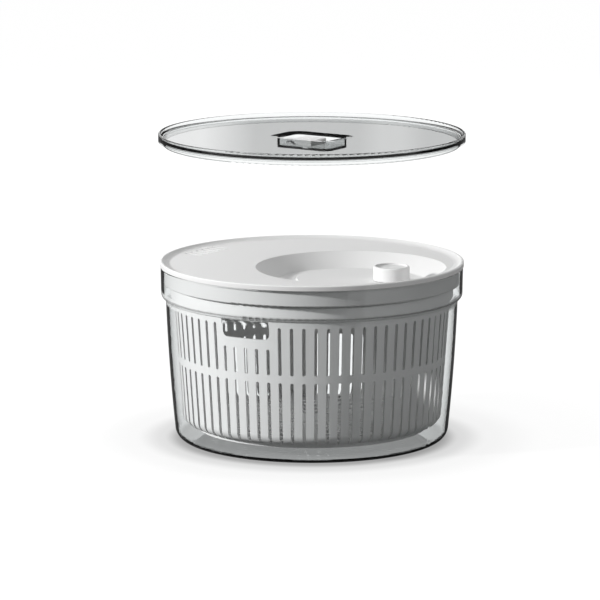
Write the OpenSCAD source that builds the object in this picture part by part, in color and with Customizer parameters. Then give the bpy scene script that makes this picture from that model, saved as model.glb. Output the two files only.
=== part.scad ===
// Crank-driven salad spinner and keeper: a clear bowl, a slotted basket that spins inside it,
// a white lid with a recessed crank and its gears, and a clear storage lid with a flip vent.
// Millimetres, +Z up. The origin is the centre of the bowl's base, and +X runs from the bowl's
// axis towards the crank's axis.

/* [Bowl] */
// Outer diameter of the bowl at its rim
rim_d = 260; // [240:1:280]
// Height of the bowl from the table to its rim
bowl_h = 150; // [140:1:165]
// Wall thickness of the bowl
bowl_wall = 2.5; // [2:0.1:3]
// Height of the wide collar at the top of the bowl
collar_h = 23; // [20:0.5:26]
// Radial step from the collar in to the neck
collar_step = 4.1; // [3.6:0.1:4.6]
// Draft of the collar, in radius, from the rim to the step
collar_draft = 0.4; // [0.2:0.1:0.8]
// How much the radius shrinks from the neck down to the foot
bowl_taper = 7.5; // [5:0.5:10]
// Outward bulge of the side between neck and foot
bowl_bulge = 0.9; // [0.5:0.1:2]
// Outer rounding where the side meets the base
bowl_corner = 10; // [8:0.5:12]
// Radius of the pivot that the basket spins on
pivot_r = 4.5; // [4:0.1:6]

/* [Basket] */
// Gap between the basket's side and the bowl's inside
basket_gap = 4.4; // [3:0.1:6]
// Wall thickness of the basket
basket_wall = 2; // [1.6:0.1:2.4]
// Height of the basket's underside above the table
basket_floor_z = 14.5; // [13:0.5:18]
// Outer rounding where the basket's side meets its floor
basket_corner = 9; // [7:0.5:11]
// Depth of the basket's rim below the bowl's rim
basket_drop = 14.5; // [14:0.5:17]
// Height of the thick rim band
band_h = 11.5; // [9:0.5:13]
// How far the rim band stands out from the side
band_out = 2.6; // [2:0.1:3]
// Radial thickness of the rim band
band_w = 5; // [4:0.1:6]
// Number of slots around the side
slot_count = 72; // [60:2:76]
// Width of a slot
slot_w = 3; // [2:0.1:3.5]
// Depth of the slots' top ends below the rim band
slot_drop = 7.5; // [5:0.5:10]
// Height of the solid belt between the two rows of slots
belt_h = 6.2; // [4:0.2:9]
// Height of that belt's middle above the table
belt_z = 72.2; // [66:0.2:78]
// Width of a grip window
window_w = 44; // [36:1:52]
// Height of a grip window
window_h = 17.5; // [14:0.5:20]
// Height of the foot ring under the basket
foot_h = 3.5; // [2:0.1:5]
// Turn of the basket about its axis, as it stands in the bowl
basket_turn = 4.6; // [0:0.2:20]

/* [Spinner lid] */
// Wall thickness of the lid
lid_wall = 2.2; // [1.8:0.1:2.6]
// Height of the lid's rim above the bowl's rim
lid_rim_h = 4.6; // [4:0.1:6]
// How far the lid stands out beyond the bowl's rim
lid_overhang = 0.6; // [0.3:0.1:1.5]
// Width of the flat crest of the rim
crest_w = 2; // [1.5:0.1:3]
// Width of the hollow slope from the crest in to the plate
cove_w = 7.1; // [6:0.1:9]
// Depth of the plate below the crest
cove_drop = 2.5; // [2:0.1:3]
// Depth of the skirt below the bowl's rim
skirt_depth = 14; // [12:0.5:15]
// Gap between the skirt and the bowl's collar
skirt_gap = 0.5; // [0.3:0.1:1]
// Depth of the crank dish below the plate
dish_depth = 12.6; // [11:0.2:14]
// Radial run of the dish's sloping side
dish_run = 17; // [14:0.5:20]
// Least width of plate between the dish and the cove
dish_margin = 0.4; // [0.2:0.1:2]
// Number of pour-off slits
vent_count = 6; // [4:1:7]
// Spacing of the slits
vent_pitch = 8.4; // [7:0.2:9]
// Length of a slit
vent_len = 17.5; // [12:0.5:22]
// Width of a slit
vent_w = 3; // [2:0.1:4]

/* [Crank] */
// Gap between the crank disc and the foot of the dish's side
crank_gap = 17.5; // [15:0.5:20]
// Thickness of the crank disc
crank_t = 2.6; // [2.2:0.1:3.2]
// Diameter of the crank's shaft
shaft_d = 12; // [10:0.5:14]
// Diameter of the knob
knob_d = 31; // [26:0.2:34]
// Gap between the knob and the foot of the dish's side
knob_gap = 12.7; // [11:0.1:15]
// Height of the knob's top above the plate
knob_rise = 2.8; // [2:0.1:3.2]
// Depth of the cap below the knob's rim
knob_sink = 1.4; // [1:0.1:1.8]
// Depth of the thumb hollow in the cap
thumb_depth = 0.5; // [0.3:0.1:0.8]
// Turn of the crank away from +X, as it stands in the photo
crank_turn = 15; // [0:1:30]

/* [Gears] */
// Gear module, the pitch diameter per tooth
gear_module = 1.2; // [1.1:0.02:1.3]
// Teeth on the crank gear
crank_teeth = 48; // [44:1:52]
// Teeth on the pinion
pinion_teeth = 18; // [17:1:20]
// Thickness of both gears
gear_t = 5; // [4.6:0.1:6]
// Play between the teeth at the pitch circle
backlash = 0.2; // [0.1:0.02:0.3]
// Wall thickness of the gear cover
cover_wall = 2; // [1.6:0.1:2.4]
// Thickness of the drive disc that carries the basket round
drive_t = 2.4; // [2:0.1:3]
// Number of drive lugs on the drive disc
lug_count = 4; // [3:1:6]
// Width of a drive lug
lug_w = 9; // [7:0.5:12]

/* [Storage lid] */
// How far the storage lid stands out beyond the bowl's rim
cap_overhang = 1.4; // [1.2:0.1:2.4]
// Thickness of the storage lid's plate
cap_wall = 2; // [1.6:0.1:2.6]
// Height of the raised rim above the plate
cap_rim_h = 3.4; // [2.5:0.1:5]
// Thickness of the raised rim
cap_rim_w = 2.2; // [1.8:0.1:3]
// Depth of the outer lip below the ledge that rests on the bowl's rim
cap_lip_h = 1.2; // [0.8:0.1:2]
// Depth of the plug that goes inside the bowl's collar
plug_depth = 4.8; // [3:0.2:6]
// Gap between the plug and the bowl's collar
plug_gap = 0.4; // [0.2:0.1:1]
// Height at which the lid hangs above the spinner lid, as shown taken off
cap_hover = 100.1; // [97:0.1:120]
// Length of the sunken pocket
pocket_l = 50; // [46:0.5:56]
// Width of the sunken pocket
pocket_w = 31; // [29:0.5:36]
// Depth of the pocket below the plate
pocket_depth = 8.9; // [8.4:0.1:10]
// How far the flared mouth of the pocket spreads on each side
flare_w = 8; // [6:0.2:10]
// Length of the vent flap
flap_l = 24; // [22:0.2:28]
// Gap between the flap's sides and the pocket's sides
flap_gap = 3.9; // [1:0.1:5]
// Height of the vent flap
flap_h = 6.6; // [6:0.1:7.4]
// Gap between the flap's hinged end and the pocket's end
flap_back = 8; // [4:0.1:10]

/* [Hidden] */
$fn = 96;

// Colours of the four materials
clear = [0.86, 0.88, 0.88, 0.35];
white = [0.95, 0.95, 0.94];
nylon = [0.87, 0.87, 0.83];
steel = [0.72, 0.73, 0.74];

// Clearances: a running fit on a shaft, a close seat, room between moving faces, a cutter's overrun
run_fit = 0.05;
seat_fit = 0.03;
run_gap = 0.3;
gear_gap = 0.8;
over = 1;

// Bowl: radii at the rim, the step, the neck and the foot
rim_r = rim_d / 2;
collar_r = rim_r - collar_draft;
neck_r = collar_r - collar_step;
foot_r = neck_r - bowl_taper;
collar_z = bowl_h - collar_h;
neck_z = collar_z - collar_step * sqrt(3);
edge_round = 1;
// The side is an arc through the foot and the neck, and the corner is tangent to it
side = [neck_r - foot_r, neck_z - bowl_corner];
side_out = [side.y, -side.x] / norm(side);
side_arc_r = side * side / (8 * bowl_bulge) + bowl_bulge / 2;
side_arc_c = [(foot_r + neck_r) / 2, (bowl_corner + neck_z) / 2] - side_out * (side_arc_r - bowl_bulge);
corner_x = side_arc_c.x + sqrt(pow(side_arc_r - bowl_corner, 2) - pow(bowl_corner - side_arc_c.y, 2));
corner_steps = 12;
step_steps = 8;

// Basket: it follows the bowl's inside and stands on the pivot
basket_foot_r = foot_r - bowl_wall - basket_gap;
basket_neck_r = neck_r - bowl_wall - basket_gap;
basket_lean = (basket_neck_r - basket_foot_r) / (neck_z - basket_floor_z);
basket_top_z = bowl_h - basket_drop;
band_z = basket_top_z - band_h;
band_r = basket_foot_r + (band_z - basket_floor_z) * basket_lean + band_out;
band_in_r = band_r - band_w;
band_round = 1.8;
slot_pitch = 360 / slot_count;
slot_top_z = band_z - slot_drop;
belt_top_z = belt_z + belt_h / 2;
belt_bottom_z = belt_z - belt_h / 2;
window_top_gap = 1;
window_top_z = band_z - window_top_gap;
window_bottom_z = window_top_z - window_h;
window_round = 5;
window_slot_gap = 8;
foot_ring_w = 2;
foot_ring_r = basket_foot_r - basket_corner - foot_ring_w;
foot_z = basket_floor_z - foot_h;
socket_wall = 2.2;
pivot_top_z = basket_floor_z - run_gap;
pivot_foot_r = 2 * pivot_r;
// Lattice floor of the basket: rows of short slots, each row with one step more slots than the one inside it
floor_rows = 6;
floor_step = 12;
floor_rib = 3;
floor_in_r = 15;
floor_out_r = foot_ring_r - foot_ring_w - slot_w;
floor_pitch = (floor_out_r + floor_rib - floor_in_r) / floor_rows;

// Spinner lid
lid_top_z = bowl_h + lid_rim_h;
plate_z = lid_top_z - cove_drop;
flange_r = rim_r + lid_overhang;
plate_r = flange_r - crest_w - cove_w;
cove_r = (cove_w * cove_w + cove_drop * cove_drop) / (2 * cove_drop);
skirt_r = collar_r - bowl_wall - skirt_gap;
lid_round = 1.2;
crank_x = gear_module * (crank_teeth + pinion_teeth) / 2;
dish_r = plate_r - crank_x - dish_margin;
dish_floor_r = dish_r - dish_run;
dish_lean = dish_run / dish_depth;
dish_corner = 3;
dish_floor_z = plate_z - dish_depth;
dish_under_z = dish_floor_z - lid_wall;
vent_edge = 4;

// Gear train, stacked down from the underside of the dish
gear_top_z = dish_under_z - gear_gap;
gear_z = gear_top_z - gear_t;
cover_in_z = gear_z - gear_gap;
cover_z = cover_in_z - cover_wall;
crank_tip_r = gear_module * (crank_teeth / 2 + 1);
pinion_tip_r = gear_module * (pinion_teeth / 2 + 1);
pressure_angle = 20;
root_depth = 1.25;
flank_steps = 4;
tip_room = 1.5;
cover_r = crank_tip_r + tip_room + cover_wall;
cover_small_r = pinion_tip_r + tip_room + cover_wall;
boss_r = 4;
boss_gap = 0.5;
boss_h = 4.5;
ear_wall = 1.2;
ear_r = boss_r + boss_gap + ear_wall;
screw_r = 1.5;
screw_head_r = 3;
screw_head_h = 1.8;
// Shares of a screw's head: its rounding by height, its cross recess by radius and by height
head_round = 0.6;
recess_reach = 0.6;
recess_w = 0.24;
recess_depth = 0.5;
screw_play = 0.2;
screw_hole_r = screw_r + screw_play;
screw_bite = 4.2;
drive_recess = 0.2;
// Screw posts of the gear cover: two beside the crank gear, two beside the pinion
crank_post_angle = 55;
pinion_post_angle = 120;
crank_post_r = cover_r + boss_gap + boss_r;
pinion_post_r = cover_small_r + boss_gap + boss_r;
posts = [for (s = [-1, 1], end = [0, 1])
    end == 0
        ? [crank_x + crank_post_r * cos(crank_post_angle), s * crank_post_r * sin(crank_post_angle)]
        : [pinion_post_r * cos(pinion_post_angle), s * pinion_post_r * sin(pinion_post_angle)]];

// Crank: disc, shaft, gear and knob
crank_z = dish_floor_z + run_gap;
crank_top_z = crank_z + crank_t;
crank_r = dish_floor_r - crank_gap;
knob_r = knob_d / 2;
knob_reach = dish_floor_r - knob_gap - knob_r;
ear_rim = 1.6;
shaft_r = shaft_d / 2;
bearing_wall = 3;
bearing_r = shaft_r + bearing_wall;
hex_share = 0.8;
hex_r = shaft_r * hex_share;
hub_recess = 3.2;
hub_recess_r = shaft_r + 2 * run_gap;
washer_t = 0.8;
washer_r = shaft_r - screw_play;
shaft_end_z = gear_z + hub_recess;
knob_z = crank_top_z + run_gap;
knob_top_z = plate_z + knob_rise;
knob_round = 1.5;
knob_foot_round = 1;
knob_rim = 2;
knob_pin_r = 4;
pin_head_r = 7;
pin_head_t = 1.6;
knob_cap_t = 3;
knob_cap_r = knob_r - knob_rim;
knob_cap_z = knob_top_z - knob_cap_t;
knob_room_z = knob_cap_z - pin_head_t - 2 * run_gap;
knob_room = 2;
knob_room_r = pin_head_r + knob_room;
knob_cap_top_z = knob_top_z - knob_sink;
thumb_r = knob_cap_r - edge_round;
thumb_ball_r = (thumb_r * thumb_r + thumb_depth * thumb_depth) / (2 * thumb_depth);

// Drive disc: it hangs on the pinion's shaft and turns the basket by lugs between ribs
pinion_pin_r = 3;
pinion_pin_h = 4;
drive_top_z = cover_z - gear_gap;
drive_z = drive_top_z - drive_t;
drive_room = 6.5;
drive_r = band_in_r - drive_room;
lug_gap = 3;
lug_reach = band_in_r - lug_gap;
lug_play = 0.5;
rib_w = 2;
rib_in_r = drive_r + 2 * run_gap;
rib_top_z = basket_top_z - rib_w;
rib_below = 4;
rib_z = drive_z - rib_below;
drive_hub_r = 16;
drive_slot_count = 24;
drive_slot_w = 4;
drive_slot_in_r = 40;
drive_rim = 12;
drive_slot_out_r = drive_r - drive_rim;
drive_washer_t = 1;
washer_rim = 1.5;
drive_washer_r = shaft_r + washer_rim;

// Storage lid, hanging where the photo shows it
cap_r = rim_r + cap_overhang;
cap_ledge_z = lid_top_z + cap_hover + plug_depth;
cap_plate_z = cap_ledge_z + cap_wall;
cap_top_z = cap_plate_z + cap_rim_h;
plug_r = rim_r - bowl_wall - plug_gap;
cap_lip_w = cap_overhang - plug_gap;
cap_round = 1;
cap_fillet = 1.6;
pocket_round = 5;
pocket_z = cap_plate_z - pocket_depth;
flare_depth = 0.5;
flare_fn = 32;
// Vent flap, hinged at the pocket's -X end
flap_w = pocket_w - 2 * flap_gap;
flap_z = pocket_z + run_gap;
flap_end_x = -pocket_l / 2 + flap_back;
hinge_r = flap_h / 2;
hinge_x = flap_end_x + hinge_r;
hinge_z = flap_z + hinge_r;
hinge_pin_r = 1;
hinge_pin_bite = 1.4;
flap_tip_x = flap_end_x + flap_l;
flap_round = 1.2;
vent_share = 0.62;
vent_x = flap_end_x + flap_l * vent_share;
vent_hole_r = 4.1;
vent_stem_r = 2;
vent_stem_h = 3;
vent_cone_r = 3.5;
vent_cone_tip_r = 2.6;
vent_cone_h = 1.8;

// Point at a radius and an angle
function polar(r, a) = [r * cos(a), r * sin(a)];
// Points along an arc about c from angle a0 to a1
function arc(c, r, a0, a1, steps) = [for (k = [0 : steps]) c + polar(r, a0 + (a1 - a0) * k / steps)];
// Angle in degrees between an involute's start and the point with this pressure angle
function involute(a) = tan(a) * 180 / PI - a;

// Sliver to cut from a square corner at p to round it; the signs point into the material
module corner_cut(p, r, into) {
    difference() {
        translate(p + into * (r - over) / 2) square(r + over, center = true);
        translate(p + into * r) circle(r);
    }
}

// Filled half-section of a cup with a leaning side and a rounded corner, drawn in by inset
module cup_filled(foot, lean, floor_z, top_z, corner_r, inset) {
    stretch = sqrt(1 + lean * lean);
    middle = [foot + corner_r * (lean - stretch), floor_z + corner_r];
    reach = corner_r - inset;
    touch = middle + [reach, -reach * lean] / stretch;
    top_r = foot + (top_z - floor_z) * lean - inset * stretch;
    polygon([[0, floor_z + inset], [middle.x, floor_z + inset], touch, [top_r, top_z], [0, top_z]]);
    translate(middle) circle(reach);
}

// Rectangle about the origin with round corners
module round_rect(l, w, r) {
    square([l - 2 * r, w], center = true);
    square([l, w - 2 * r], center = true);
    for (x = [-1, 1], y = [-1, 1]) translate([x * (l / 2 - r), y * (w / 2 - r)]) circle(r);
}

// Upright slot with round ends, from z0 to z1, cut from radius r0 out to r1 along +X
module side_slot(w, z0, z1, r0, r1) {
    translate([r0, 0, 0]) rotate([90, 0, 90]) linear_extrude(r1 - r0) {
        translate([-w / 2, z0 + w / 2]) square([w, z1 - z0 - w]);
        for (z = [z0 + w / 2, z1 - w / 2]) translate([0, z]) circle(w / 2);
    }
}

// Flat slot with round ends along +X from radius r0 to r1
module flat_slot(w, r0, r1, z0, h) {
    translate([0, 0, z0]) linear_extrude(h) {
        translate([r0 + w / 2, -w / 2]) square([r1 - r0 - w, w]);
        for (x = [r0 + w / 2, r1 - w / 2]) translate([x, 0]) circle(w / 2);
    }
}

// Toothed outline of a spur gear, with a tooth on +X
module gear_outline(teeth) {
    pitch_r = gear_module * teeth / 2;
    base_r = pitch_r * cos(pressure_angle);
    root_r = pitch_r - root_depth * gear_module;
    start_r = max(base_r, root_r);
    tip_r = pitch_r + gear_module;
    half = 90 / teeth - backlash / (2 * pitch_r) * 90 / PI;
    radii = [for (k = [0 : flank_steps]) start_r + (tip_r - start_r) * k / flank_steps];
    flank = [for (r = radii) [r, half + involute(pressure_angle) - involute(acos(base_r / r))]];
    foot = [root_r, flank[0][1]];
    rise = concat([foot], flank);
    last = len(rise) - 1;
    polygon([for (i = [0 : teeth - 1], k = [0 : 2 * last + 1])
        let (p = k <= last ? rise[k] : rise[2 * last + 1 - k], s = k <= last ? -1 : 1)
        polar(p[0], 360 * i / teeth + s * p[1])]);
}

// Outline round the crank gear and the pinion: two circles and their tangents
module gear_case_outline(big_r, small_r) {
    slope = (big_r - small_r) / crank_x;
    up = [-slope, sqrt(1 - slope * slope)];
    down = [up.x, -up.y];
    axis = [crank_x, 0];
    translate(axis) circle(big_r);
    circle(small_r);
    polygon([small_r * down, axis + big_r * down, axis + big_r * up, small_r * up]);
}

// Round-headed screw standing on its head at z, with its shank up
module screw(r, head_r, head_h, shank_h) {
    difference() {
        rotate_extrude() difference() {
            union() {
                square([head_r, head_h]);
                square([r, head_h + shank_h]);
            }
            corner_cut([head_r, 0], head_h * head_round, [-1, 1]);
        }
        for (a = [0, 90]) rotate(a) translate([-head_r * recess_reach, -head_r * recess_w / 2, -over])
            cube([2 * head_r * recess_reach, head_r * recess_w, over + head_h * recess_depth]);
    }
}

// Washer lying on z = 0
module washer(r, hole_r, t) {
    difference() {
        cylinder(r = r, h = t);
        translate([0, 0, -over]) cylinder(r = hole_r, h = t + 2 * over);
    }
}

// Filled half-section of the bowl drawn in by inset, its mouth raised by lift
module bowl_filled(inset, lift) {
    corner_c = [corner_x, bowl_corner];
    corner_end = atan2(bowl_corner - side_arc_c.y, corner_x - side_arc_c.x);
    side_end = atan2(neck_z - side_arc_c.y, neck_r - side_arc_c.x);
    polygon(concat(
        [[0, inset]],
        arc(corner_c, bowl_corner - inset, -90, corner_end, corner_steps),
        arc(side_arc_c, side_arc_r - inset, corner_end, side_end, corner_steps),
        arc([collar_r, neck_z], collar_step + inset, 180, 120, step_steps),
        arc([neck_r, collar_z], collar_step - inset, -60, 0, step_steps),
        [[rim_r - inset + collar_draft * lift / collar_h, bowl_h + lift], [0, bowl_h + lift]]));
}

module bowl() {
    color(clear) rotate_extrude() {
        difference() {
            bowl_filled(0, 0);
            bowl_filled(bowl_wall, over);
            corner_cut([rim_r, bowl_h], edge_round, [-1, -1]);
            corner_cut([rim_r - bowl_wall, bowl_h], edge_round, [1, -1]);
        }
        // Pivot in the middle of the base, with a domed top
        polygon([[0, bowl_wall / 2], [pivot_foot_r, bowl_wall / 2], [pivot_foot_r, bowl_wall],
            [pivot_r, bowl_wall + pivot_r], [pivot_r, pivot_top_z - pivot_r], [0, pivot_top_z - pivot_r]]);
        intersection() {
            translate([0, pivot_top_z - pivot_r]) circle(pivot_r);
            translate([0, bowl_wall]) square([pivot_r, pivot_top_z]);
        }
    }
}

// Half-section of the basket: side and floor, rim band, foot ring and pivot socket
module basket_section() {
    difference() {
        cup_filled(basket_foot_r, basket_lean, basket_floor_z, basket_top_z - over, basket_corner, 0);
        cup_filled(basket_foot_r, basket_lean, basket_floor_z, basket_top_z, basket_corner, basket_wall);
    }
    difference() {
        translate([band_in_r, band_z]) square([band_w, band_h]);
        for (x = [band_in_r, band_r], z = [band_z, basket_top_z])
            corner_cut([x, z], band_round, [x == band_r ? -1 : 1, z == band_z ? 1 : -1]);
    }
    translate([foot_ring_r - foot_ring_w, foot_z]) square([foot_ring_w, foot_h + basket_wall / 2]);
    translate([pivot_r + run_gap, foot_z]) square([socket_wall, foot_h + basket_wall / 2]);
}

// Opening for the fingers below the rim band, cut along +X
module grip_window() {
    translate([band_in_r - 2 * band_w, 0, 0]) rotate([90, 0, 90]) linear_extrude(3 * band_w) difference() {
        translate([-window_w / 2, window_bottom_z]) square([window_w, window_h]);
        for (s = [-1, 1]) corner_cut([s * window_w / 2, window_bottom_z], window_round, [-s, 1]);
    }
}

module basket() {
    cut_r = band_r + over;
    slot_in_r = foot_ring_r + foot_ring_w / 2;
    color(white) rotate(basket_turn) difference() {
        union() {
            rotate_extrude() basket_section();
            // Pairs of ribs that the drive lugs drop between
            for (i = [0 : lug_count - 1], s = [-1, 1]) rotate(360 * (i + 0.5) / lug_count)
                translate([rib_in_r, s * (lug_w / 2 + lug_play + rib_w / 2) - rib_w / 2, rib_z])
                    cube([band_in_r - rib_in_r + band_w / 2, rib_w, rib_top_z - rib_z]);
        }
        for (s = [-90, 90]) rotate(s) grip_window();
        // Two rows of slots; those below a window are short, and the lower row runs round the corner
        for (i = [0 : slot_count - 1]) {
            a = i * slot_pitch - 90;
            below = abs(cos(a)) * basket_neck_r < (window_w + slot_w) / 2;
            rotate(a) {
                side_slot(slot_w, belt_top_z, below ? window_bottom_z - window_slot_gap : slot_top_z,
                    slot_in_r, cut_r);
                side_slot(slot_w, basket_floor_z - slot_w, belt_bottom_z, slot_in_r, cut_r);
            }
        }
        for (row = [1 : floor_rows], i = [1 : row * floor_step])
            rotate(360 * (i - 0.5) / (row * floor_step))
                translate([floor_in_r + (row - 1) * floor_pitch, -slot_w / 2, basket_floor_z - over])
                    cube([floor_pitch - floor_rib, slot_w, basket_wall + 2 * over]);
    }
}

// Half-section of the lid without its dish: plate, cove, crest, flange and skirt
module lid_section() {
    translate([0, plate_z - lid_wall]) square([skirt_r, lid_wall]);
    difference() {
        translate([plate_r - over, bowl_h]) square([flange_r - plate_r + over, lid_rim_h]);
        translate([plate_r, plate_z + cove_r]) circle(cove_r);
        translate([plate_r - 2 * over, plate_z]) square([2 * over, lid_rim_h]);
        corner_cut([flange_r, lid_top_z], lid_round, [-1, -1]);
        corner_cut([flange_r, bowl_h], lid_round / 2, [-1, 1]);
    }
    difference() {
        translate([skirt_r - lid_wall, bowl_h - skirt_depth])
            square([lid_wall, skirt_depth + lid_wall / 2]);
        for (s = [-1, 1])
            corner_cut([skirt_r - (1 - s) / 2 * lid_wall, bowl_h - skirt_depth], lid_wall / 2, [-s, 1]);
    }
}

module lid_cover() {
    dish_skin_z = plate_z - lid_wall / 2;
    color(white) difference() {
        union() {
            rotate_extrude() lid_section();
            translate([crank_x, 0, 0]) rotate_extrude()
                cup_filled(dish_floor_r, dish_lean, dish_floor_z, dish_skin_z, dish_corner, -lid_wall);
            // Bearing boss for the crank's shaft, pivot pin for the pinion, and screw bosses
            translate([crank_x, 0, gear_top_z + run_gap])
                cylinder(r = bearing_r, h = gear_gap - run_gap + lid_wall / 2);
            translate([0, 0, dish_under_z - pinion_pin_h])
                cylinder(r = pinion_pin_r, h = pinion_pin_h + lid_wall / 2);
            for (p = posts) translate([p.x, p.y, dish_under_z - boss_h])
                cylinder(r = boss_r, h = boss_h + lid_wall / 2);
        }
        translate([crank_x, 0, 0]) rotate_extrude()
            cup_filled(dish_floor_r, dish_lean, dish_floor_z, plate_z + over, dish_corner, 0);
        translate([crank_x, 0, gear_z]) cylinder(r = shaft_r + run_fit, h = dish_depth);
        for (p = posts) translate([p.x, p.y, dish_under_z - boss_h - over])
            cylinder(r = screw_r + seat_fit, h = screw_bite + over);
        // Pour-off slits on the side away from the crank
        for (i = [0 : vent_count - 1])
            translate([-plate_r + vent_edge, (i - (vent_count - 1) / 2) * vent_pitch, 0])
                flat_slot(vent_w, 0, vent_len, plate_z - lid_wall - over, lid_wall + 2 * over);
    }
}

module gear_cover() {
    post_h = dish_under_z - boss_h - cover_z;
    color(white) difference() {
        union() {
            translate([0, 0, cover_z]) linear_extrude(dish_under_z - cover_z)
                gear_case_outline(cover_r, cover_small_r);
            for (p = posts) translate([p.x, p.y, cover_z]) cylinder(r = ear_r, h = post_h);
        }
        translate([0, 0, cover_in_z]) linear_extrude(dish_under_z - cover_in_z + over)
            gear_case_outline(cover_r - cover_wall, cover_small_r - cover_wall);
        translate([0, 0, cover_z - over]) cylinder(r = shaft_r + run_fit, h = cover_wall + 2 * over);
        for (p = posts) translate([p.x, p.y, cover_z - over]) {
            cylinder(r = screw_hole_r, h = post_h + 2 * over);
            cylinder(r = screw_head_r + run_gap, h = screw_head_h + drive_recess + over);
        }
    }
}

module cover_screws() {
    shank = dish_under_z - boss_h + screw_bite - seat_fit - cover_z - drive_recess - screw_head_h;
    color(steel) for (p = posts) translate([p.x, p.y, cover_z + drive_recess])
        screw(screw_r, screw_head_r, screw_head_h, shank);
}

// Disc with a rounded top edge, standing on z = 0
module crank_plate(r) {
    rotate_extrude() difference() {
        square([r, crank_t]);
        corner_cut([r, crank_t], edge_round, [-1, -1]);
    }
}

module crank_disc() {
    color(white) translate([crank_x, 0, 0]) rotate(crank_turn) difference() {
        union() {
            translate([0, 0, crank_z]) crank_plate(crank_r);
            translate([knob_reach, 0, crank_z]) crank_plate(knob_r + ear_rim);
            translate([0, 0, gear_top_z]) cylinder(r = shaft_r, h = crank_z - gear_top_z + crank_t / 2);
            translate([0, 0, shaft_end_z])
                cylinder(r = hex_r, h = gear_top_z - shaft_end_z + crank_t, $fn = 6);
        }
        translate([knob_reach, 0, crank_z - over])
            cylinder(r = knob_pin_r + seat_fit, h = crank_t + 2 * over);
        translate([0, 0, shaft_end_z - over]) cylinder(r = screw_r + seat_fit, h = screw_bite + over);
    }
}

module crank_gear() {
    color(nylon) translate([crank_x, 0, 0]) difference() {
        translate([0, 0, gear_z]) rotate(180) linear_extrude(gear_t) gear_outline(crank_teeth);
        translate([0, 0, gear_z - over]) cylinder(r = hub_recess_r, h = hub_recess + over);
        rotate(crank_turn) translate([0, 0, gear_z])
            cylinder(r = hex_r + run_fit, h = gear_t + over, $fn = 6);
    }
}

module crank_washer() {
    color(steel) translate([crank_x, 0, shaft_end_z - washer_t]) washer(washer_r, screw_hole_r, washer_t);
}

module crank_screw() {
    color(steel) translate([crank_x, 0, shaft_end_z - washer_t - screw_head_h])
        screw(screw_r, screw_head_r, screw_head_h, washer_t + screw_bite - seat_fit);
}

// Places its children on the knob's axis
module at_knob() {
    translate([crank_x, 0, 0]) rotate(crank_turn) translate([knob_reach, 0, 0]) children();
}

module knob_pin() {
    color(steel) at_knob() {
        translate([0, 0, crank_z]) cylinder(r = knob_pin_r, h = knob_room_z + run_gap - crank_z);
        translate([0, 0, knob_room_z + run_gap]) cylinder(r = pin_head_r, h = pin_head_t);
    }
}

module knob_grip() {
    color(white) at_knob() difference() {
        rotate_extrude() difference() {
            translate([0, knob_z]) square([knob_r, knob_top_z - knob_z]);
            corner_cut([knob_r, knob_z], knob_foot_round, [-1, 1]);
            corner_cut([knob_r, knob_top_z], knob_round, [-1, -1]);
        }
        translate([0, 0, knob_z - over]) cylinder(r = knob_pin_r + run_fit, h = knob_top_z);
        translate([0, 0, knob_room_z]) cylinder(r = knob_room_r, h = knob_top_z);
        translate([0, 0, knob_cap_z]) cylinder(r = knob_cap_r + seat_fit, h = knob_top_z);
    }
}

module knob_cap() {
    color(white) at_knob() difference() {
        translate([0, 0, knob_cap_z]) cylinder(r = knob_cap_r, h = knob_cap_top_z - knob_cap_z);
        translate([0, 0, knob_cap_top_z + thumb_ball_r - thumb_depth]) sphere(thumb_ball_r, $fn = 4 * $fn);
    }
}

module pinion() {
    color(nylon) difference() {
        union() {
            translate([0, 0, gear_z]) rotate(180 / pinion_teeth) linear_extrude(gear_t)
                gear_outline(pinion_teeth);
            translate([0, 0, drive_top_z + seat_fit]) cylinder(r = shaft_r, h = gear_z - drive_top_z);
            translate([0, 0, drive_z]) rotate(basket_turn)
                cylinder(r = hex_r, h = gear_z - drive_z, $fn = 6);
        }
        translate([0, 0, dish_under_z - pinion_pin_h - run_gap])
            cylinder(r = pinion_pin_r + run_fit, h = pinion_pin_h + over);
        translate([0, 0, drive_z - over]) cylinder(r = screw_r + seat_fit, h = screw_bite + over);
    }
}

module drive_disc() {
    color(white) rotate(basket_turn) difference() {
        union() {
            translate([0, 0, drive_z]) cylinder(r = drive_r, h = drive_t);
            for (i = [0 : lug_count - 1]) rotate(360 * (i + 0.5) / lug_count)
                translate([0, -lug_w / 2, drive_z]) cube([lug_reach, lug_w, drive_t]);
        }
        translate([0, 0, drive_z - over]) cylinder(r = hex_r + run_fit, h = drive_t + 2 * over, $fn = 6);
        for (i = [0 : drive_slot_count - 1]) rotate(360 * i / drive_slot_count)
            flat_slot(drive_slot_w, drive_slot_in_r, drive_slot_out_r, drive_z - over, drive_t + 2 * over);
    }
}

module drive_washer() {
    color(steel) translate([0, 0, drive_z - drive_washer_t])
        washer(drive_washer_r, screw_hole_r, drive_washer_t);
}

module drive_screw() {
    color(steel) translate([0, 0, drive_z - drive_washer_t - screw_head_h])
        screw(screw_r, screw_head_r, screw_head_h, drive_washer_t + screw_bite - seat_fit);
}

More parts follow.
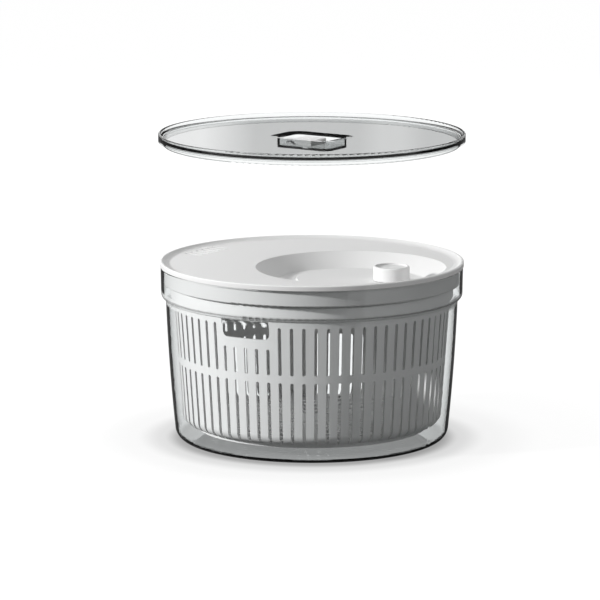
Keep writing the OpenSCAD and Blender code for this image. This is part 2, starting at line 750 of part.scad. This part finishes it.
// Half-section of the storage lid: plate, raised rim, outer lip and plug
module cap_section() {
    lip_z = cap_ledge_z - cap_lip_h;
    translate([0, cap_ledge_z]) square([cap_r - cap_rim_w / 2, cap_wall]);
    difference() {
        translate([cap_r - cap_rim_w, cap_ledge_z]) square([cap_rim_w, cap_top_z - cap_ledge_z]);
        for (s = [-1, 1])
            corner_cut([cap_r - (1 - s) / 2 * cap_rim_w, cap_top_z], cap_round, [-s, -1]);
    }
    translate([cap_r - cap_lip_w, lip_z]) square([cap_lip_w, cap_lip_h + cap_wall / 2]);
    corner_cut([cap_r - cap_rim_w, cap_plate_z], cap_fillet, [-1, 1]);
    difference() {
        translate([plug_r - cap_wall, cap_ledge_z - plug_depth])
            square([cap_wall, plug_depth + cap_wall / 2]);
        for (s = [-1, 1])
            corner_cut([plug_r - (1 - s) / 2 * cap_wall, cap_ledge_z - plug_depth], cap_wall / 2, [-s, 1]);
    }
}

module storage_lid() {
    color(clear) difference() {
        union() {
            rotate_extrude() cap_section();
            translate([0, 0, pocket_z - cap_wall]) linear_extrude(pocket_depth + cap_wall)
                round_rect(pocket_l + 2 * cap_wall, pocket_w + 2 * cap_wall, pocket_round + cap_wall);
        }
        translate([0, 0, pocket_z]) linear_extrude(pocket_depth + over)
            round_rect(pocket_l, pocket_w, pocket_round);
        // Flared mouth of the pocket
        hull() for (f = [0, 1]) translate([0, 0, cap_plate_z - (1 - f) * flare_depth])
            linear_extrude(f * over + seat_fit)
                round_rect(pocket_l + 2 * f * flare_w, pocket_w + 2 * f * flare_w,
                    pocket_round + f * flare_w, $fn = flare_fn);
        translate([vent_x, 0, pocket_z - cap_wall - over])
            cylinder(r = vent_hole_r, h = cap_wall + 2 * over);
        // Seats of the flap's hinge pin in the pocket's sides
        translate([hinge_x, 0, hinge_z]) rotate([90, 0, 0])
            cylinder(r = hinge_pin_r + seat_fit, h = pocket_w + 2 * hinge_pin_bite, center = true);
    }
}

module vent_pin() {
    color(steel) translate([hinge_x, 0, hinge_z]) rotate([90, 0, 0])
        cylinder(r = hinge_pin_r, h = pocket_w + 2 * hinge_pin_bite - 2 * seat_fit, center = true);
}

module vent_flap() {
    color(white) difference() {
        translate([0, flap_w / 2, 0]) rotate([90, 0, 0]) linear_extrude(flap_w) difference() {
            union() {
                translate([hinge_x, hinge_z]) circle(hinge_r);
                translate([hinge_x, flap_z]) square([flap_tip_x - hinge_x, flap_h]);
            }
            corner_cut([flap_tip_x, flap_z + flap_h], flap_round, [-1, -1]);
            translate([hinge_x, hinge_z]) circle(hinge_pin_r + run_fit);
        }
        translate([vent_x, 0, flap_z - over])
            cylinder(r = vent_stem_r + seat_fit, h = vent_stem_h + seat_fit + over);
    }
}

module vent_plug() {
    color("gainsboro") translate([vent_x, 0, flap_z]) {
        translate([0, 0, -vent_cone_h]) cylinder(r1 = vent_cone_tip_r, r2 = vent_cone_r, h = vent_cone_h);
        cylinder(r = vent_stem_r, h = vent_stem_h);
    }
}

bowl();
basket();
lid_cover();
gear_cover();
cover_screws();
crank_disc();
crank_gear();
crank_washer();
crank_screw();
knob_pin();
knob_grip();
knob_cap();
pinion();
drive_disc();
drive_washer();
drive_screw();
storage_lid();
vent_pin();
vent_flap();
vent_plug();
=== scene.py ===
import math

import bmesh
import bpy
from mathutils import Matrix, Vector


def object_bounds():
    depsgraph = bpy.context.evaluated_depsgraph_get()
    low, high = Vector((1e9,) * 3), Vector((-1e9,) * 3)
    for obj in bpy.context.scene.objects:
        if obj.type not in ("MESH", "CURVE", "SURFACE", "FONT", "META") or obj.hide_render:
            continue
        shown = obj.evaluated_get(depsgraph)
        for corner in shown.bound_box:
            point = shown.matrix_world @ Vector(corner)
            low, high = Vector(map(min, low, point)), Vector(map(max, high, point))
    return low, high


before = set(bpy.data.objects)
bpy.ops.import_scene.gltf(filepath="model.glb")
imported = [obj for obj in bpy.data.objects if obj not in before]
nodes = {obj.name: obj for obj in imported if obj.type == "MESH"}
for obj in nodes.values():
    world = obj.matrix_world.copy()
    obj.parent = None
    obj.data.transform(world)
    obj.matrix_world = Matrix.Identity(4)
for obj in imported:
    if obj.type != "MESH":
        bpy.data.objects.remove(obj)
cad_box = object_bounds()
scene = bpy.context.scene

# Camera: a long lens about three and a half metres away, a little above the bowl's rim.
# It stands 33 degrees round from the front, so that the crank's knob is on the right.
camera_turn = math.radians(33)
camera_pitch = math.radians(10.35)
camera_distance = 3.53
camera_lens = 246
camera_sensor = 36
camera_far = 50
aim_height = 0.1193
aim_left = 0.01016
up = Vector((0, 0, 1))
aside = Vector((math.cos(camera_turn), math.sin(camera_turn), 0))
ahead = Vector((-math.sin(camera_turn), math.cos(camera_turn), 0))
sight = ahead * math.cos(camera_pitch) - up * math.sin(camera_pitch)

camera_data = bpy.data.cameras.new("camera")
camera_data.sensor_width = camera_sensor
camera_data.lens = camera_lens
camera_data.clip_end = camera_far
camera = bpy.data.objects.new("camera", camera_data)
scene.collection.objects.link(camera)
camera.location = up * aim_height - aside * aim_left - sight * camera_distance
camera.rotation_euler = sight.to_track_quat("-Z", "Y").to_euler()
scene.camera = camera
scene.view_settings.view_transform = "Standard"


# Floor: a wide sheet of white paper that the bowl stands on, with a painted shade close under
# it.
# Its mirror image is bright in front of the bowl and dim behind it, so that the edges
# of the clear plastic read dark.
def flat_sheet(name, placing):
    sheet_mesh = bpy.data.meshes.new(name)
    shape = bmesh.new()
    bmesh.ops.create_grid(shape, x_segments=1, y_segments=1, size=1, matrix=placing)
    shape.to_mesh(sheet_mesh)
    shape.free()
    sheet = bpy.data.objects.new(name, sheet_mesh)
    scene.collection.objects.link(sheet)
    return sheet


def shade_ramp(tree, stops):
    ramp = tree.nodes.new("ShaderNodeValToRGB")
    shades = ramp.color_ramp.elements
    shades.remove(shades[-1])
    shades[0].position = stops[0][0]
    for place, level in stops[1:]:
        shades.new(place)
    for shade, (place, level) in zip(shades, stops):
        shade.color = (level, level, level, 1)
    return ramp


floor_half = 9
floor_drop = 0.0005
floor_place = Matrix.Translation(up * (cad_box[0].z - floor_drop))
floor = flat_sheet("floor", floor_place @ Matrix.Scale(floor_half, 4))

paper_tone = 0.1
paper_bounces = 0.5
painted_shade_reach = 0.45
# Painted shade: the paper glows less close under the bowl, standing in for its contact
# shadow.
painted_paper_shade = (
    (0.0, 0.36), (0.25, 0.35), (0.285, 0.68), (0.34, 0.86), (0.46, 0.93), (0.75, 0.96),
)
mirrored_from, mirrored_to = -0.35, -0.05
mirrored_front, mirrored_back = 0.6, 0.03
paper = bpy.data.materials.new("white_paper")
paper.use_nodes = True
tree = paper.node_tree
tree.nodes.clear()
paper_out = tree.nodes.new("ShaderNodeOutputMaterial")
paper_diffuse = tree.nodes.new("ShaderNodeBsdfDiffuse")
paper_diffuse.inputs["Color"].default_value = (paper_tone, paper_tone, paper_tone, 1)
paper_glow = tree.nodes.new("ShaderNodeEmission")
paper_path = tree.nodes.new("ShaderNodeLightPath")
paper_direct = tree.nodes.new("ShaderNodeMath")
paper_direct.operation = "LESS_THAN"
paper_direct.inputs[1].default_value = paper_bounces
paper_front = tree.nodes.new("ShaderNodeVectorMath")
paper_front.operation = "DOT_PRODUCT"
paper_front.inputs[1].default_value = ahead
paper_sheen = tree.nodes.new("ShaderNodeMapRange")
paper_sheen.inputs["From Min"].default_value = mirrored_from
paper_sheen.inputs["From Max"].default_value = mirrored_to
paper_sheen.inputs["To Min"].default_value = mirrored_front
paper_sheen.inputs["To Max"].default_value = mirrored_back
paper_mirrored = tree.nodes.new("ShaderNodeMapRange")
paper_mirrored.inputs["To Min"].default_value = 1
paper_place = tree.nodes.new("ShaderNodeTexCoord")
paper_reach = tree.nodes.new("ShaderNodeVectorMath")
paper_reach.operation = "LENGTH"
paper_span = tree.nodes.new("ShaderNodeMapRange")
paper_span.inputs["From Max"].default_value = painted_shade_reach
painted_shade_ramp = shade_ramp(tree, painted_paper_shade)
painted_shade_ramp.color_ramp.interpolation = "EASE"
paper_strength = tree.nodes.new("ShaderNodeMath")
paper_strength.operation = "MULTIPLY"
paper_sum = tree.nodes.new("ShaderNodeAddShader")
tree.links.new(paper_path.outputs["Diffuse Depth"], paper_direct.inputs[0])
tree.links.new(paper_path.outputs["Glossy Depth"], paper_mirrored.inputs["Value"])
tree.links.new(paper_place.outputs["Object"], paper_front.inputs[0])
tree.links.new(paper_front.outputs["Value"], paper_sheen.inputs["Value"])
tree.links.new(paper_sheen.outputs["Result"], paper_mirrored.inputs["To Max"])
tree.links.new(paper_direct.outputs[0], paper_strength.inputs[0])
tree.links.new(paper_mirrored.outputs["Result"], paper_strength.inputs[1])
tree.links.new(paper_place.outputs["Object"], paper_reach.inputs[0])
tree.links.new(paper_reach.outputs["Value"], paper_span.inputs["Value"])
tree.links.new(paper_span.outputs["Result"], painted_shade_ramp.inputs["Fac"])
tree.links.new(painted_shade_ramp.outputs["Color"], paper_glow.inputs["Color"])
tree.links.new(paper_strength.outputs[0], paper_glow.inputs["Strength"])
tree.links.new(paper_glow.outputs[0], paper_sum.inputs[0])
tree.links.new(paper_diffuse.outputs[0], paper_sum.inputs[1])
tree.links.new(paper_sum.outputs[0], paper_out.inputs["Surface"])
floor.data.materials.append(paper)

# Room: a plain surround, white where it is seen straight, in gloss or through clear plastic.
# It lights the matt plastic evenly, and far less than it shows.
room_light = 0.3
room = bpy.data.worlds.new("room")
room.use_nodes = True
tree = room.node_tree
room_glow = tree.nodes["Background"]
room_glow.inputs["Color"].default_value = (1, 1, 1, 1)
room_path = tree.nodes.new("ShaderNodeLightPath")
room_seen = tree.nodes.new("ShaderNodeMath")
room_seen.operation = "MAXIMUM"
room_shown = tree.nodes.new("ShaderNodeMath")
room_shown.operation = "MAXIMUM"
room_level = tree.nodes.new("ShaderNodeMapRange")
room_level.inputs["To Max"].default_value = room_light
tree.links.new(room_path.outputs["Is Camera Ray"], room_seen.inputs[0])
tree.links.new(room_path.outputs["Is Transmission Ray"], room_seen.inputs[1])
tree.links.new(room_path.outputs["Is Glossy Ray"], room_shown.inputs[0])
tree.links.new(room_seen.outputs[0], room_shown.inputs[1])
tree.links.new(room_path.outputs["Diffuse Depth"], room_level.inputs["Value"])
tree.links.new(room_shown.outputs[0], room_level.inputs["To Min"])
tree.links.new(room_level.outputs["Result"], room_glow.inputs["Strength"])
scene.world = room

# Lamps: a small soft box on the left, a wide one overhead and a weak one behind.
# They stand out of the picture and point at the middle of the bowl.
lamp_aim = up * 0.12


def soft_box(name, place, side, watts, mirrored):
    lamp_data = bpy.data.lights.new(name, "AREA")
    lamp_data.size = side
    lamp_data.energy = watts
    lamp = bpy.data.objects.new(name, lamp_data)
    scene.collection.objects.link(lamp)
    lamp.location = place
    lamp.rotation_euler = (lamp_aim - place).to_track_quat("-Z", "Y").to_euler()
    lamp.visible_transmission = False
    lamp.visible_glossy = mirrored


left_place = up * 1.0 - aside * 2.21 - ahead * 0.8
top_place = up * 2.7 - ahead * 0.2
back_place = up * 0.8 + ahead * 2.3
soft_box("left_box", left_place, side=0.2, watts=61, mirrored=False)
soft_box("top_box", top_place, side=1.6, watts=12.5, mirrored=True)
soft_box("back_box", back_place, side=0.8, watts=18, mirrored=False)

# Back cards: two pale cards that stand behind the set, and that only mirror images show.
# The high one gives the flat top of the spinner lid its sheen; the low one is brighter
# on the left, and gives the clear storage lid its streaks.
card_distance = 1.5


def back_card(name, low, high, half_width, glow):
    half_height = up * (high - low) / 2
    upright = Matrix((aside * half_width, half_height, -ahead)).transposed().to_4x4()
    card_place = Matrix.Translation(ahead * card_distance + up * (high + low) / 2)
    card = flat_sheet(name, card_place @ upright)
    card.visible_camera = False
    card.visible_diffuse = False
    card.visible_transmission = False
    card.visible_shadow = False
    card.data.materials.append(glow)


high_card_level = 0.7
high_glow = bpy.data.materials.new("high_card_glow")
high_glow.use_nodes = True
tree = high_glow.node_tree
tree.nodes.clear()
high_out = tree.nodes.new("ShaderNodeOutputMaterial")
high_light = tree.nodes.new("ShaderNodeEmission")
high_light.inputs["Strength"].default_value = high_card_level
tree.links.new(high_light.outputs[0], high_out.inputs["Surface"])
back_card("high_card", low=0.8, high=2.0, half_width=0.9, glow=high_glow)

streaks_half_width = 0.25
streaks = ((0.24, 0.6), (0.37, 0.03), (0.62, 0.02), (0.68, 0.2), (0.73, 0.2), (0.79, 0.02))
low_glow = bpy.data.materials.new("low_card_glow")
low_glow.use_nodes = True
tree = low_glow.node_tree
tree.nodes.clear()
low_out = tree.nodes.new("ShaderNodeOutputMaterial")
low_light = tree.nodes.new("ShaderNodeEmission")
low_place = tree.nodes.new("ShaderNodeTexCoord")
low_across = tree.nodes.new("ShaderNodeVectorMath")
low_across.operation = "DOT_PRODUCT"
low_across.inputs[1].default_value = aside
low_span = tree.nodes.new("ShaderNodeMapRange")
low_span.inputs["From Min"].default_value = -streaks_half_width
low_span.inputs["From Max"].default_value = streaks_half_width
low_ramp = shade_ramp(tree, streaks)
tree.links.new(low_place.outputs["Object"], low_across.inputs[0])
tree.links.new(low_across.outputs["Value"], low_span.inputs["Value"])
tree.links.new(low_span.outputs["Result"], low_ramp.inputs["Fac"])
tree.links.new(low_ramp.outputs["Color"], low_light.inputs["Color"])
tree.links.new(low_light.outputs[0], low_out.inputs["Surface"])
back_card("low_card", low=0.35, high=0.8, half_width=0.6, glow=low_glow)

# Bowl: one clear shell moulded in hard plastic and polished, with a wide collar at the top
# and a pivot for the basket in the middle of its base. It stands free on the table.
# Light that meets the step under its collar squarely goes straight through.
bowl_tint = (0.97, 0.98, 0.98)
bowl_bend = 1.3
bowl_piped = ((0.117, 0), (0.119, 0.8), (0.128, 0.8), (0.13, 0))
polish_waves = 14
polish_best, polish_worst = 0.005, 0.03
square_on, grazing = 0.4, 0.85


def clear_plastic(name, tint, bend, piped=()):
    material = bpy.data.materials.new(name)
    material.use_nodes = True
    tree = material.node_tree
    outside = tree.nodes["Principled BSDF"]
    outside.inputs["Base Color"].default_value = (*tint, 1)
    outside.inputs["Transmission Weight"].default_value = 1
    outside.inputs["IOR"].default_value = bend
    inside = tree.nodes.new("ShaderNodeBsdfRefraction")
    inside.inputs["Color"].default_value = (*tint, 1)
    inside.inputs["IOR"].default_value = bend
    facing = tree.nodes.new("ShaderNodeNewGeometry")
    skin = tree.nodes.new("ShaderNodeMixShader")
    place = tree.nodes.new("ShaderNodeTexCoord")
    flow = tree.nodes.new("ShaderNodeTexNoise")
    flow.inputs["Scale"].default_value = polish_waves
    flow.inputs["Detail"].default_value = 2
    gloss = tree.nodes.new("ShaderNodeMapRange")
    gloss.inputs["To Min"].default_value = polish_best
    gloss.inputs["To Max"].default_value = polish_worst
    tree.links.new(place.outputs["Object"], flow.inputs["Vector"])
    tree.links.new(flow.outputs["Fac"], gloss.inputs["Value"])
    tree.links.new(gloss.outputs["Result"], outside.inputs["Roughness"])
    tree.links.new(gloss.outputs["Result"], inside.inputs["Roughness"])
    tree.links.new(facing.outputs["Backfacing"], skin.inputs["Fac"])
    tree.links.new(outside.outputs[0], skin.inputs[1])
    tree.links.new(inside.outputs[0], skin.inputs[2])
    tree.links.new(skin.outputs[0], tree.nodes["Material Output"].inputs["Surface"])
    if piped:
        low, high = piped[0][0], piped[-1][0]
        straight = tree.nodes.new("ShaderNodeBsdfRefraction")
        straight.inputs["Color"].default_value = (*tint, 1)
        straight.inputs["IOR"].default_value = 1
        height = tree.nodes.new("ShaderNodeSeparateXYZ")
        rise = tree.nodes.new("ShaderNodeMapRange")
        rise.inputs["From Min"].default_value = low
        rise.inputs["From Max"].default_value = high
        share = shade_ramp(tree, [((z - low) / (high - low), level) for z, level in piped])
        slant = tree.nodes.new("ShaderNodeLayerWeight")
        fade = tree.nodes.new("ShaderNodeMapRange")
        fade.inputs["From Min"].default_value = square_on
        fade.inputs["From Max"].default_value = grazing
        fade.inputs["To Min"].default_value = 1
        fade.inputs["To Max"].default_value = 0
        passed = tree.nodes.new("ShaderNodeMath")
        passed.operation = "MULTIPLY"
        step = tree.nodes.new("ShaderNodeMixShader")
        tree.links.new(place.outputs["Object"], height.inputs[0])
        tree.links.new(height.outputs["Z"], rise.inputs["Value"])
        tree.links.new(rise.outputs["Result"], share.inputs["Fac"])
        tree.links.new(slant.outputs["Facing"], fade.inputs["Value"])
        tree.links.new(share.outputs["Color"], passed.inputs[0])
        tree.links.new(fade.outputs["Result"], passed.inputs[1])
        tree.links.new(passed.outputs[0], step.inputs["Fac"])
        tree.links.new(inside.outputs[0], step.inputs[1])
        tree.links.new(straight.outputs[0], step.inputs[2])
        tree.links.new(step.outputs[0], skin.inputs[2])
    return material


def finish_node(name, material):
    mesh = nodes[name].data
    mesh.materials.clear()
    mesh.materials.append(material)


finish_node("bowl", clear_plastic("clear_bowl_plastic", bowl_tint, bowl_bend, bowl_piped))
nodes["bowl"].visible_shadow = False

# Basket: white polypropylene, moulded in one piece with its slots, its rim band and the
# socket that turns on the bowl's pivot. It is satin, with the fine grain of the mould.
# The basket's white is painted a little brighter, to make up for the light that the clear
# bowl holds back.
basket_brightened_tone = 0.92
basket_grain = 0.05
cloud_waves = 18
cloud_dark = (0.985, 0.985, 0.98)
cloud_light = (1, 1, 0.998)
satin_best, satin_worst = 0.36, 0.48
grain_specks = 1400
grain_depth = 0.0002


def white_plastic(name, tone, grain):
    material = bpy.data.materials.new(name)
    material.use_nodes = True
    tree = material.node_tree
    shader = tree.nodes["Principled BSDF"]
    place = tree.nodes.new("ShaderNodeTexCoord")
    cloud = tree.nodes.new("ShaderNodeTexNoise")
    cloud.inputs["Scale"].default_value = cloud_waves
    cloud.inputs["Detail"].default_value = 3
    tint = tree.nodes.new("ShaderNodeMix")
    tint.data_type = "RGBA"
    tint.inputs["A"].default_value = (*(tone * share for share in cloud_dark), 1)
    tint.inputs["B"].default_value = (*(tone * share for share in cloud_light), 1)
    gloss = tree.nodes.new("ShaderNodeMapRange")
    gloss.inputs["To Min"].default_value = satin_best
    gloss.inputs["To Max"].default_value = satin_worst
    speck = tree.nodes.new("ShaderNodeTexNoise")
    speck.inputs["Scale"].default_value = grain_specks
    speck.inputs["Detail"].default_value = 2
    bump = tree.nodes.new("ShaderNodeBump")
    bump.inputs["Strength"].default_value = grain
    bump.inputs["Distance"].default_value = grain_depth
    tree.links.new(place.outputs["Object"], cloud.inputs["Vector"])
    tree.links.new(place.outputs["Object"], speck.inputs["Vector"])
    tree.links.new(cloud.outputs["Fac"], tint.inputs["Factor"])
    tree.links.new(cloud.outputs["Fac"], gloss.inputs["Value"])
    tree.links.new(tint.outputs["Result"], shader.inputs["Base Color"])
    tree.links.new(gloss.outputs["Result"], shader.inputs["Roughness"])
    tree.links.new(speck.outputs["Fac"], bump.inputs["Height"])
    tree.links.new(bump.outputs["Normal"], shader.inputs["Normal"])
    return material


finish_node("basket", white_plastic("basket_white", basket_brightened_tone, basket_grain))

# Spinner lid: one white moulding with a raised rim, a conical dish for the crank, pour-off
# slits and a skirt that sits inside the bowl's collar. Its white is greyer than the basket's,
# whose white is painted brighter.
lid_tone = 0.84
lid_grain = 0.06
lid_white = white_plastic("lid_white", lid_tone, lid_grain)
finish_node("lid_cover", lid_white)

# Gear cover and its screws: a white pan under the dish that closes in the gears.
# Four plain steel screws, turned and headed, hold it up to the spinner lid.
steel_tint = (0.6, 0.6, 0.61)
steel_specks = 700
steel_best, steel_worst = 0.25, 0.45


def plain_steel(name):
    material = bpy.data.materials.new(name)
    material.use_nodes = True
    tree = material.node_tree
    shader = tree.nodes["Principled BSDF"]
    shader.inputs["Base Color"].default_value = (*steel_tint, 1)
    shader.inputs["Metallic"].default_value = 1
    place = tree.nodes.new("ShaderNodeTexCoord")
    drawn = tree.nodes.new("ShaderNodeTexNoise")
    drawn.inputs["Scale"].default_value = steel_specks
    gloss = tree.nodes.new("ShaderNodeMapRange")
    gloss.inputs["To Min"].default_value = steel_best
    gloss.inputs["To Max"].default_value = steel_worst
    tree.links.new(place.outputs["Object"], drawn.inputs["Vector"])
    tree.links.new(drawn.outputs["Fac"], gloss.inputs["Value"])
    tree.links.new(gloss.outputs["Result"], shader.inputs["Roughness"])
    return material


steel = plain_steel("plain_steel")
finish_node("gear_cover", lid_white)
finish_node("cover_screws", steel)

# Crank disc: a white round plate that lies in the lid's dish, with an ear for the knob.
# A headed steel pin is pressed into the ear for the knob to turn on.
finish_node("crank_disc", lid_white)
finish_node("knob_pin", steel)

# Crank knob: a white moulded sleeve that turns freely on its pin.
# A dished cap is snapped in at the top and hides the pin's head.
finish_node("knob_grip", lid_white)
finish_node("knob_cap", lid_white)

# Gears: moulded nylon, darker than the white plastic and with hardly any grain.
# The large one is keyed on the crank's shaft, and drives the pinion on the lid's axis.
gear_tone = 0.72
gear_grain = 0.03
gear_nylon = white_plastic("gear_nylon", gear_tone, gear_grain)
finish_node("crank_gear", gear_nylon)
finish_node("pinion", gear_nylon)

# Drive disc: a slotted white disc on the pinion's shaft, under the gear cover.
# The lugs at its edge drop between the basket's ribs and carry the basket round.
finish_node("drive_disc", lid_white)

# Shaft screws and washers: plain steel, one of each under the crank and under the pinion.
# They hold the gear and the drive disc on their shafts.
for shaft_piece in ("crank_washer", "crank_screw", "drive_washer", "drive_screw"):
    finish_node(shaft_piece, steel)

# Storage lid: a clear moulded lid with a raised rim, a plug and a sunken pocket for the vent.
# It fits the bowl in place of the spinner lid, and is shown lifted off above it.
# Its tint is darker than the bowl's, a painted shade that makes its flat top read greyer.
storage_shaded_tint = (0.92, 0.93, 0.93)
storage_bend = 1.5
finish_node("storage_lid", clear_plastic("clear_lid_plastic", storage_shaded_tint, storage_bend))
nodes["storage_lid"].visible_shadow = False

# Vent flap: a white moulded block that flips up out of the storage lid's pocket.
# It turns on a plain steel pin that runs through the pocket's two sides.
# The flap's white is painted a little brighter, to make up for the light it lacks down in the
# pocket.
flap_brightened_tone = 0.95
flap_grain = 0.05
finish_node("vent_flap", white_plastic("flap_white", flap_brightened_tone, flap_grain))
finish_node("vent_pin", steel)

# Vent plug: a soft grey silicone plug, pressed into the flap from below.
# It closes the vent hole in the floor of the pocket.
plug_tone = 0.62
plug_grain = 0.08
finish_node("vent_plug", white_plastic("plug_silicone", plug_tone, plug_grain))
